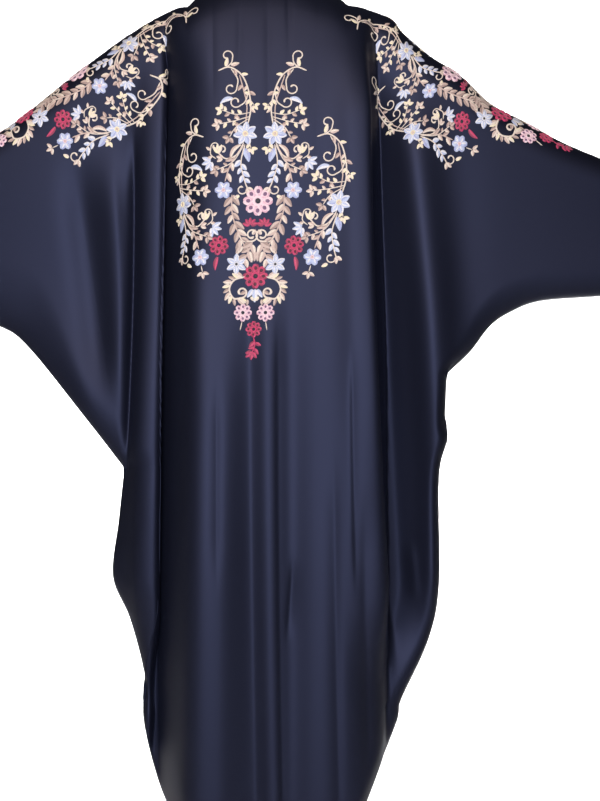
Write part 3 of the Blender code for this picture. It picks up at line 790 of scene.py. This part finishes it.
# one tall spray about its star flower: hooked boughs over it, and scrolls, twigs and a blossom under it
def spray(withDrop=False):
    arch = [(-52, -112), (-32, -118), (-10, -104), (3, -76), (8, -44), (4, -17)]
    second = [(-14, -104), (-6, -78), (1, -50), (0, -18)]
    bough = [(0, 19), (-6, 52), (2, 84)]
    stalk = [(-3, 20), (-24, 54), (-33, 84)]
    tendril = [(-50, 44), (-60, 36), (-60, 22)]
    made = stem(arch, 2.4, "cream") + stem(second, 1.9, "fawn")
    made += stem([(-38, -117), (-29, -126), (-27, -137)], 2.0, "cream", coil=(10.5, 0.85, -1))
    made += stem([(-29, -115), (-17, -97), (-18, -79)], 2.1, "cream", coil=(11.0, 0.95, 1))
    made += stem([(3, -77), (-2, -57), (-13, -48)], 2.1, "cream", coil=(10.5, 0.95, 1))
    made += leaf((-39, -118), -80, 19, 7.5, "butter") + leaf((-31, -121), -16, 18, 7.5, "cream")
    made += leavesAlong(arch, (0.22, 0.33, 0.5, 0.58, 0.68, 0.8), 15, 7.0, ("fawn", "butter", "cream"))
    made += leavesAlong(second, (0.2, 0.36), 14, 6.5, ("fawn", "butter"), 50)
    made += leaf((-21, -62), 158, 29, 9.0, "lilacWhite", bow=4.5)
    made += twig([(7, -37), (-18, -34), (-43, -42)], ("butter", "fawn"), (0.28, 0.42, 0.56, 0.7, 0.84))
    made += twig([(6, -30), (-22, -22), (-48, -17)], ("cream", "butter"), (0.32, 0.46, 0.6, 0.74, 0.88))
    made += twig([(4, -26), (-17, -11), (-28, 7)], ("fawn", "cream"), (0.4, 0.58, 0.76))
    made += twig([(6, -60), (14, -50)], ("butter", "cream"), (0.35,), 11.0)
    made += petalFlower((0, 0), 22.5, 7, "lilacWhite", ("sky", "periwinkle"), ("butter", "fawn"), turn=-86,
                        breadth=0.54)
    made += twig([(6, 12), (11, 26)], ("butter", "butter"), (0.4,), 12.5)
    made += stem([(-2, 16), (-14, 37), (-32, 44), (-45, 35)], 2.2, "cream", coil=(9.0, 0.95, 1))
    made += leaf((-4, 18), 122, 38, 8.0, "cream", bow=8.0)
    made += leaf((-3, 24), 68, 30, 12.0, "periwinkle", bow=-2.0)
    made += twig([(-2, 20), (-20, 49), (-49, 64)], ("fawn", "cream"), (0.44, 0.56, 0.68, 0.8, 0.9), 13.0)
    made += stem(stalk, 2.0, "fawn")
    made += leavesAlong(stalk, (0.36, 0.5, 0.66, 0.78), 19, 8.5, ("fawn", "cream"), 36)
    made += stem(bough + [(6, 94)], 2.1, "cream", coil=(10.0, 0.95, 1))
    made += leavesAlong(bough, (0.42, 0.52, 0.62, 0.72, 0.82, 0.92), 18, 9.5, ("sky", "lilacWhite"), 38)
    made += fan((6, 95), (25, 80), 14, 7.5, "cream") + leaf((-6, 108), 150, 14, 7.0, "butter")
    made += fan((-46, 35), (-128, -100, -72), 18, 7.0, "butter")
    made += fan((-38, 43), (150, 195), 13, 7.0, "cream")
    made += stem(tendril, 1.8, "cream", coil=(7.5, 1.2, 1))
    made += leavesAlong(tendril, (0.3, 0.75), 12, 6.0, ("cream",), 60, (-1,))
    made += fan((-58, 48), (88, 126, 164, 202), 20, 8.5, "lilacWhite")
    made += petalFlower((-35, 99), 16.5, 6, "periwinkle", ("sky", "lilacWhite"), ("blossom", "fawn"),
                        fullness=0.5, breadth=0.74)
    if withDrop:
        made += stem([(-36, 114), (-38, 126)], 1.7, "cream")
        made += fan((-38, 126), (30, 95, 160), 13, 6.5, "cream")
    return made


# the middle column: rosettes, fronds and scrolls, drawn for the left and mirrored
def middleColumn():
    frond = [(-46, 257), (-45, 286), (-37, 314), (-24, 340)]
    rib = [(-7, 340), (-13, 355), (-21, 374)]
    wreath = [(-18, 401), (-37, 407), (-45, 423), (-37, 439), (-22, 438)]
    half = fan((-12, 311), (-165, -128, -90, -52, -15), 15, 7.5, "raspberry")
    half += stem(frond, 2.2, "fawn") + stem(rib, 2.0, "fawn")
    half += leavesAlong(frond, (0.04, 0.22, 0.4, 0.58, 0.76, 0.92), 24, 10.5,
                        ("fawn", "fawn", "cream"), 38, (1,))
    half += leavesAlong(frond, (0.0, 0.18, 0.36, 0.54, 0.72, 0.9), 25, 10.5,
                        ("fawn", "cream", "fawn"), 34, (-1,))
    half += stem([(-34, 322), (-24, 338), (-9, 339)], 2.6, "cream", coil=(11.5, 1.2, -1))
    half += stem([(-30, 330), (-18, 350), (-6, 352)], 1.9, "fawn") + leaf((-8, 328), -60, 12, 7.0, "cream")
    half += leavesAlong(rib, (0.0, 0.1, 0.3, 0.45, 0.65, 0.85), 23, 10.5, ("fawn", "cream"), 38)
    half += leaf((-30, 338), 96, 25, 11.5, "fawn") + leaf((-24, 346), 128, 20, 10.0, "cream")
    half += leaf((-5, 352), 84, 24, 9.5, "fawn")
    half += petalFlower((-34, 379), 20, 6, "sky", ("lilacWhite",), ("lilacWhite", "night"), turn=30,
                        breadth=0.54)
    half += rosette((-66, 346), 18.0, "raspberry", "wine", 10)
    half += leaf((-67, 364), 98, 28, 8.0, "raspberry", 2.0)
    half += stem(wreath, 2.8, "cream", coil=(10.0, 0.95, -1))
    half += leavesAlong(wreath, np.linspace(0.06, 0.97, 11), 18, 7.8, ("cream", "butter", "fawn"), 48, (1,))
    half += leaf((-3, 422), 124, 20, 8.5, "lilacWhite") + leaf((-15, 426), 150, 13, 7.0, "fawn")
    half += leaf((-8, 436), 40, 13, 6.5, "butter") + leaf((-13, 440), 92, 12, 6.5, "fawn")
    half += rosette((-20, 464), 16.5, "blossom", "mauve") + stem([(-21, 480), (-24, 495)], 1.6, "cream")
    made = half + placed(half, (0, 0), mirrored=True)
    made += rosette((0, 268), 27.0, "blossom", "mauve") + rosette((0, 400), 22.5, "raspberry", "wine")
    made += leaf((0, 421), 90, 27, 10.0, "lilacWhite") + rosette((0, 493), 15.0, "raspberry", "wine")
    sprig = [(0, 507), (3, 520), (-2, 535)]
    made += stem(sprig, 2.0, "raspberry")
    made += leavesAlong(sprig, (0.25, 0.35, 0.6, 0.68, 0.9), 15, 7.5, ("raspberry",), 58)
    return made + fan((-2, 533), (50, 95, 140), 15, 7.5, "raspberry")


# the whole drawing: two tall sprays, two lower ones turned outwards, and the middle column
def wholeDrawing():
    tall, low = spray(), spray(withDrop=True)
    made = placed(tall, (-26, 150)) + placed(tall, (26, 150), mirrored=True)
    made += placed(low, (142, 271), turn=5) + placed(low, (-142, 271), turn=5, mirrored=True)
    return made + middleColumn()


# grid lines of the drawing's coordinates, as millimetres on the cloth: a across, b from above its top down
def chartLines(above, below):
    half, step, scale = (needlework[name] for name in ("chartHalfWidth", "chartStep", "scale"))
    return scale * np.arange(-half, half + 1, step), scale * np.arange(-above, below + 1, step)


# places and outward normals of the cloth over such a grid; turned says whether the grid faces inwards
def makeChart(places, a, b, outward):
    normals = gridNormals(places)
    middle = normals[:, np.argmin(np.abs(a))].mean(axis=0)
    side = 1.0 if middle @ np.array(outward) > 0 else -1.0
    scale = needlework["scale"]
    return {"a": a / scale, "b": b / scale, "places": places, "normals": side * normals, "turned": side}


# over the back: b is the drop below the top of the drawing, and a the arc length across from its axis
def backChart(top, axisStart, axisLean):
    a, b = chartLines(20, 570)
    x = np.arange(-0.34, 0.3401, 0.0015)
    xs, zs = np.meshgrid(x, top - 0.001 * b)
    skin = clothPoint(xs, zs, "back")
    run = rowRuns(skin)
    axis = axisStart + axisLean * 0.001 * b
    rows = []
    for k in range(len(b)):
        at = np.interp(axis[k], x, run[k]) + 0.001 * a
        rows.append(readAlong(at, run[k], skin[k]))
    return makeChart(np.array(rows), a, b, (0, -1, 0))


# over a sleeve: b runs along the shoulder line, past the length gathered at the neck, and a is the arc length
# from the line, to the back when positive
def sleeveChart(side, start, shift, along, gather):
    a, b = chartLines(10, 560)
    ridge = ridges[side]
    at = 0.001 * b + start + gather * (1 - smoothStep(b / 380))
    before = np.minimum(at, 0)[:, None] * np.array(along)
    foot = readAlong(at, runAlong(ridge), ridge) + before
    downward = np.array([along[1], -along[0]]) * np.sign(along[0])
    fall = 0.27 * np.linspace(0, 1, 160) ** 2
    flat = foot[:, None, :] + fall[None, :, None] * downward
    halves = {}
    for face in ("back", "front"):
        skin = clothPoint(flat[..., 0], flat[..., 1], face)
        skin[:, 0, 1] = sideways(flat[:, 0, 0], flat[:, 0, 1])
        halves[face] = (skin, rowRuns(skin))
    rows = []
    for k in range(len(b)):
        backSkin, backRun = (part[k] for part in halves["back"])
        frontSkin, frontRun = (part[k] for part in halves["front"])
        line = np.vstack([frontSkin[:0:-1], backSkin])
        arc = np.concatenate([-frontRun[:0:-1], backRun])
        rows.append(readAlong(0.001 * a + shift, arc, line))
    return makeChart(np.array(rows), a, b, (0, 0, 1))


# rayon embroidery thread in satin stitch: close bright lines along each leaf, raised by a bump and also
# painted into the colour as a highlight on each thread's crest and shade in the groove beside it
def rayonThread(name, colour):
    material, tree, shader = newMaterial("rayonThread" + name[0].upper() + name[1:])
    uv = addNode(tree, "ShaderNodeUVMap", uv_map="stitch")
    lines = addNode(tree, "ShaderNodeTexWave", {"Vector": uv.outputs["UV"], "Distortion": 0.4,
                                                "Scale": waveScale / needlework["threadSpacing"]})
    # painted highlight and shade: the thread's colour is scaled from 0.62 in the grooves to 1.12 on the
    # crests
    shade = addNode(tree, "ShaderNodeMapRange",
                    {"Value": lines.outputs["Fac"], "To Min": 0.62, "To Max": 1.12})
    paintedStripeShade = addNode(tree, "ShaderNodeVectorMath", {0: linear(colour)[:3], 1: shade.outputs["Result"]},
                   operation="MULTIPLY")
    bump = addNode(tree, "ShaderNodeBump",
                   {"Height": lines.outputs["Fac"], "Strength": 0.6, "Distance": 0.00012})
    tree.links.new(paintedStripeShade.outputs["Vector"], shader.inputs["Base Color"])
    tree.links.new(bump.outputs["Normal"], shader.inputs["Normal"])
    shader.inputs["Roughness"].default_value = needlework["roughness"]
    shader.inputs["Sheen Weight"].default_value = needlework["sheen"]
    return material


# lays drawn patches on the cloth: bilinear places in the chart, plus the height along the normal
def embroider(name, patches, chart, threads):
    grids = np.vstack([grid.reshape(-1, 3) for grid, stitch, thread in patches])
    stitches = 0.001 * np.vstack([stitch.reshape(-1, 2) for grid, stitch, thread in patches])
    a, b = chart["a"], chart["b"]
    across = np.clip((grids[:, 0] - a[0]) / (a[1] - a[0]), 0, len(a) - 1.001)
    down = np.clip((grids[:, 1] - b[0]) / (b[1] - b[0]), 0, len(b) - 1.001)
    i, j = down.astype(int), across.astype(int)
    u, v = (down - i)[:, None], (across - j)[:, None]

    def blend(field):
        return ((field[i, j] * (1 - v) + field[i, j + 1] * v) * (1 - u)
                + (field[i + 1, j] * (1 - v) + field[i + 1, j + 1] * v) * u)

    normal = unit(blend(chart["normals"]))
    points = blend(chart["places"]) + 0.001 * grids[:, 2:] * normal
    names = list(threads)
    faces, kinds, offset = [], [], 0
    for grid, stitch, thread in patches:
        rows, columns = grid.shape[:2]
        quads = gridFaces(rows, columns, offset)
        alongRow = grid[1:, :-1, :2] - grid[:-1, :-1, :2]
        alongColumn = grid[:-1, 1:, :2] - grid[:-1, :-1, :2]
        turn = (alongRow[..., 0] * alongColumn[..., 1] - alongRow[..., 1] * alongColumn[..., 0]).sum()
        faces.append(quads if turn * chart["turned"] > 0 else quads[:, [0, 3, 2, 1]])
        kinds.append(np.full(len(quads), names.index(thread)))
        offset += rows * columns
    piece = meshObject(name, points, np.vstack(faces), [threads[kind] for kind in names], uv=stitches,
                       faceMaterial=np.concatenate(kinds), layerName="stitch")
    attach(piece, "root")
    print(name, "has", sum(len(part) for part in faces), "quads of stitching")


topstitch = {
    "colour": "#0d0f1b",
    "pitch": 0.0042,
    "length": 0.0031,
    "width": 0.0007,
    "height": 0.0005,
    "hemInset": 0.012,
    "neckInset": 0.007,
}


# spun polyester sewing thread: matt, of nearly the same navy as the crepe
def sewingThread():
    material, tree, shader = newMaterial("spunSewingThread")
    shader.inputs["Base Color"].default_value = linear(topstitch["colour"])
    shader.inputs["Roughness"].default_value = 0.7
    return material


# rows of stitches along lines of (x, z) on a face: small padded dashes, a pitch apart, standing off the skin
def sewStitches(name, lines, face):
    look = topstitch
    nudge = 0.001
    acrossStitch = 0.5 * look["width"] * np.array([-1.0, 0.0, 1.0])
    endDome, sideDome = np.array([-0.3, 0.4, 0.4, -0.3]), np.array([-0.5, 0.6, -0.5])
    dome = look["height"] * (endDome[:, None] + sideDome[None, :])
    patches = []
    for x, z in lines:
        skin = clothPoint(x, z, face)
        aside = clothPoint(x + nudge, z, face) - skin
        below = clothPoint(x, z - nudge, face) - skin
        off = unit(np.cross(aside, below) * (-1 if face == "back" else 1))
        run = runAlong(skin)
        starts = np.arange(0.5 * look["pitch"], run[-1] - look["length"], look["pitch"])
        at = starts[:, None] + look["length"] * np.linspace(0, 1, len(endDome))
        place, lift = readAlong(at, run, skin), readAlong(at, run, off)
        beside = unit(np.cross(lift, np.gradient(place, axis=1)))
        patches.append(place[:, :, None, :] + acrossStitch[:, None] * beside[:, :, None, :]
                       + dome[..., None] * lift[:, :, None, :])
    points = np.concatenate(patches)
    quads = gridFaces(*dome.shape)
    faces = (quads[None] + dome.size * np.arange(len(points))[:, None, None]).reshape(-1, 4)
    piece = meshObject(name, points.reshape(-1, 3), faces, [sewing])
    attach(piece, "root")
    print(name, "has", len(points), "stitches")


# for each half of a panel, a line just above the hem and one just inside the cuff
def hemLines(centreGap, panelSides):
    inset = topstitch["hemInset"]
    lines = []
    for side in panelSides:
        foot = sides[side][-1, 0]
        x = np.linspace(side * centreGap[1], foot - side * 0.004, 200)
        lines.append((x, np.full_like(x, inset - cloakCut["length"])))
        cuff = np.linspace(ridges[side][-1], underarms[side][0], 120)[4:-4]
        lines.append((cuff[:, 0] - side * inset, cuff[:, 1]))
    return lines


# a line just below the neckline from x = start to the shoulder
def neckLine(neckDrop, start, side):
    cut = cloakCut
    x = side * np.linspace(start, cut["neckHalfWidth"] - 0.004, 120)
    neckline = -neckDrop * (1 - np.abs(x / cut["neckHalfWidth"]) ** cut["necklinePower"])
    return x, neckline - topstitch["neckInset"]


# a line beside the centre front, from the neckline to the hem
def frontLine(side):
    z = np.linspace(-cloakCut["frontNeckDrop"] - 0.01, -cloakCut["length"] + 0.01, 400)
    drop = (z + cloakCut["frontNeckDrop"]) / (cloakCut["frontNeckDrop"] - cloakCut["length"])
    gap = openCentre[0] + (openCentre[1] - openCentre[0]) * drop
    return side * (gap + topstitch["neckInset"]), z


sewing = sewingThread()
backLines = hemLines(closedCentre, (-1, 1))
backLines += [neckLine(cloakCut["backNeckDrop"], 0.0, side) for side in (-1, 1)]
sewStitches("backStitching", backLines, "back")
for side, name in ((-1, "Left"), (1, "Right")):
    lines = hemLines(openCentre, (side,))
    lines += [neckLine(cloakCut["frontNeckDrop"], openCentre[0] + 0.008, side), frontLine(side)]
    sewStitches("front" + name + "Stitching", lines, "front")
print("hems stitched")

# on the back: height of the drawing's top, and x of its leaning axis; on a sleeve: where it starts along the
# shoulder line, its shift to the back, the line's direction at the neck, and the length gathered there
embroideryPlaces = {
    "back": {"top": -0.129, "axisStart": -0.0027, "axisLean": -0.033},
    "leftSleeve": {"start": 0.020, "shift": 0.024, "along": (-0.814, -0.581), "gather": 0.030},
    "rightSleeve": {"start": 0.014, "shift": 0.032, "along": (0.830, -0.558), "gather": 0.062},
}
threads = {name: rayonThread(name, colour) for name, colour in needlework["threads"].items()}
drawing = wholeDrawing()
charts = {
    "backEmbroidery": backChart(**embroideryPlaces["back"]),
    "leftSleeveEmbroidery": sleeveChart(-1, **embroideryPlaces["leftSleeve"]),
    "rightSleeveEmbroidery": sleeveChart(1, **embroideryPlaces["rightSleeve"]),
}
for name, chart in charts.items():
    embroider(name, drawing, chart, threads)
print("embroidery made")


studio = {
    "camera": (0.0595, -3.0, -0.722),
    "viewWidth": 1.05,  # metres seen across the middle plane
    "floorHeight": -1.62,
    "backdropDepth": 2.6,
    "sweepRadius": 0.8,
    "paperWidth": 3.55,
    "paperHeight": 3.2,
    "floorReach": 9.0,
    "paper": "#f6f6f5",
    "worldStrength": 0.035,
    # place, point aimed at, size, watts and colour of each light
    "lights": {
        "keyLight": ((-0.2, -3.2, -0.34), (0.0, 0.0, -0.5), (1.0, 1.0), 73, "#f2f5ff"),
        "topLight": ((-0.3, -2.5, 1.0), (0.0, 0.0, -0.25), (1.4, 0.8), 46, "#ffe2c4"),
        "backdropLight": ((0.0, 0.5, -0.3), (0.0, 3.5, -0.9), (1.4, 2.0), 140, "#ffffff"),
    },
    "backdropSpread": 92,  # degrees, narrow enough to keep off the cloak
}


# matt seamless paper: pale, with no pattern
def seamlessPaper():
    material, tree, shader = newMaterial("mattSeamlessPaper")
    place = addNode(tree, "ShaderNodeTexCoord")
    fibre = addNode(tree, "ShaderNodeTexNoise",
                    {"Vector": place.outputs["Object"], "Scale": 60.0, "Detail": 4.0})
    bump = addNode(tree, "ShaderNodeBump",
                   {"Height": fibre.outputs["Fac"], "Strength": 0.05, "Distance": 0.001})
    tree.links.new(bump.outputs["Normal"], shader.inputs["Normal"])
    shader.inputs["Base Color"].default_value = linear(studio["paper"])
    shader.inputs["Roughness"].default_value = 0.9
    return material


# a floor, and on it a roll of paper that turns up into a backdrop by a quarter circle
def paperSweep():
    look = studio
    angle = np.linspace(0, np.pi / 2, 24)
    back, radius, ground = look["backdropDepth"], look["sweepRadius"], look["floorHeight"]
    y = np.concatenate([[-look["floorReach"]], back + radius * np.sin(angle), [back + radius]])
    z = np.concatenate([[0.0], radius * (1 - np.cos(angle)), [look["paperHeight"]]]) + ground
    x = 0.5 * look["paperWidth"] * np.array([-1.0, 1.0])
    points = np.stack([np.tile(x, len(y)), np.repeat(y, 2), np.repeat(z, 2)], axis=1)
    faces = gridFaces(len(y), 2)[:, [0, 3, 2, 1]]
    paper = seamlessPaper()
    sweep = meshObject("paperSweep", points, faces, [paper])
    reach = look["floorReach"] * np.array([-1.0, 1.0])
    corners = np.stack([np.tile(reach, 2), np.repeat(reach, 2), np.full(4, ground - 0.003)], axis=1)
    floor = meshObject("studioFloor", corners, gridFaces(2, 2), [paper])


# a rectangular lamp that faces the point aimed at
def softLight(name, place, target, size, power, colour):
    light = bpy.data.lights.new(name, "AREA")
    light.shape = "RECTANGLE"
    light.size, light.size_y = size
    light.energy = power
    light.color = linear(colour)[:3]
    lamp = bpy.data.objects.new(name, light)
    lamp.location = place
    aim = np.array(target) - np.array(place)
    lamp.rotation_euler = (math.atan2(math.hypot(aim[0], aim[1]), -aim[2]), 0, math.atan2(-aim[0], aim[1]))
    scene.collection.objects.link(lamp)
    return lamp


paperSweep()
world = bpy.data.worlds.new("softStudio")
world.use_nodes = True
world.node_tree.nodes["Background"].inputs["Color"].default_value = linear("#ffffff")
world.node_tree.nodes["Background"].inputs["Strength"].default_value = studio["worldStrength"]
scene.world = world
lamps = {name: softLight(name, *light) for name, light in studio["lights"].items()}
lamps["backdropLight"].data.spread = math.radians(studio["backdropSpread"])
lamps["backdropLight"].visible_camera = False

# a level camera straight behind the cloak
camera = bpy.data.cameras.new("camera")
camera.sensor_fit = "HORIZONTAL"
camera.sensor_width = 36
camera.lens = camera.sensor_width * abs(studio["camera"][1]) / studio["viewWidth"]
cameraObject = bpy.data.objects.new("camera", camera)
cameraObject.location = studio["camera"]
cameraObject.rotation_euler = (math.pi / 2, 0, 0)
scene.collection.objects.link(cameraObject)
scene.camera = cameraObject
scene.view_settings.view_transform = "Standard"
print("stage, lights and camera made")
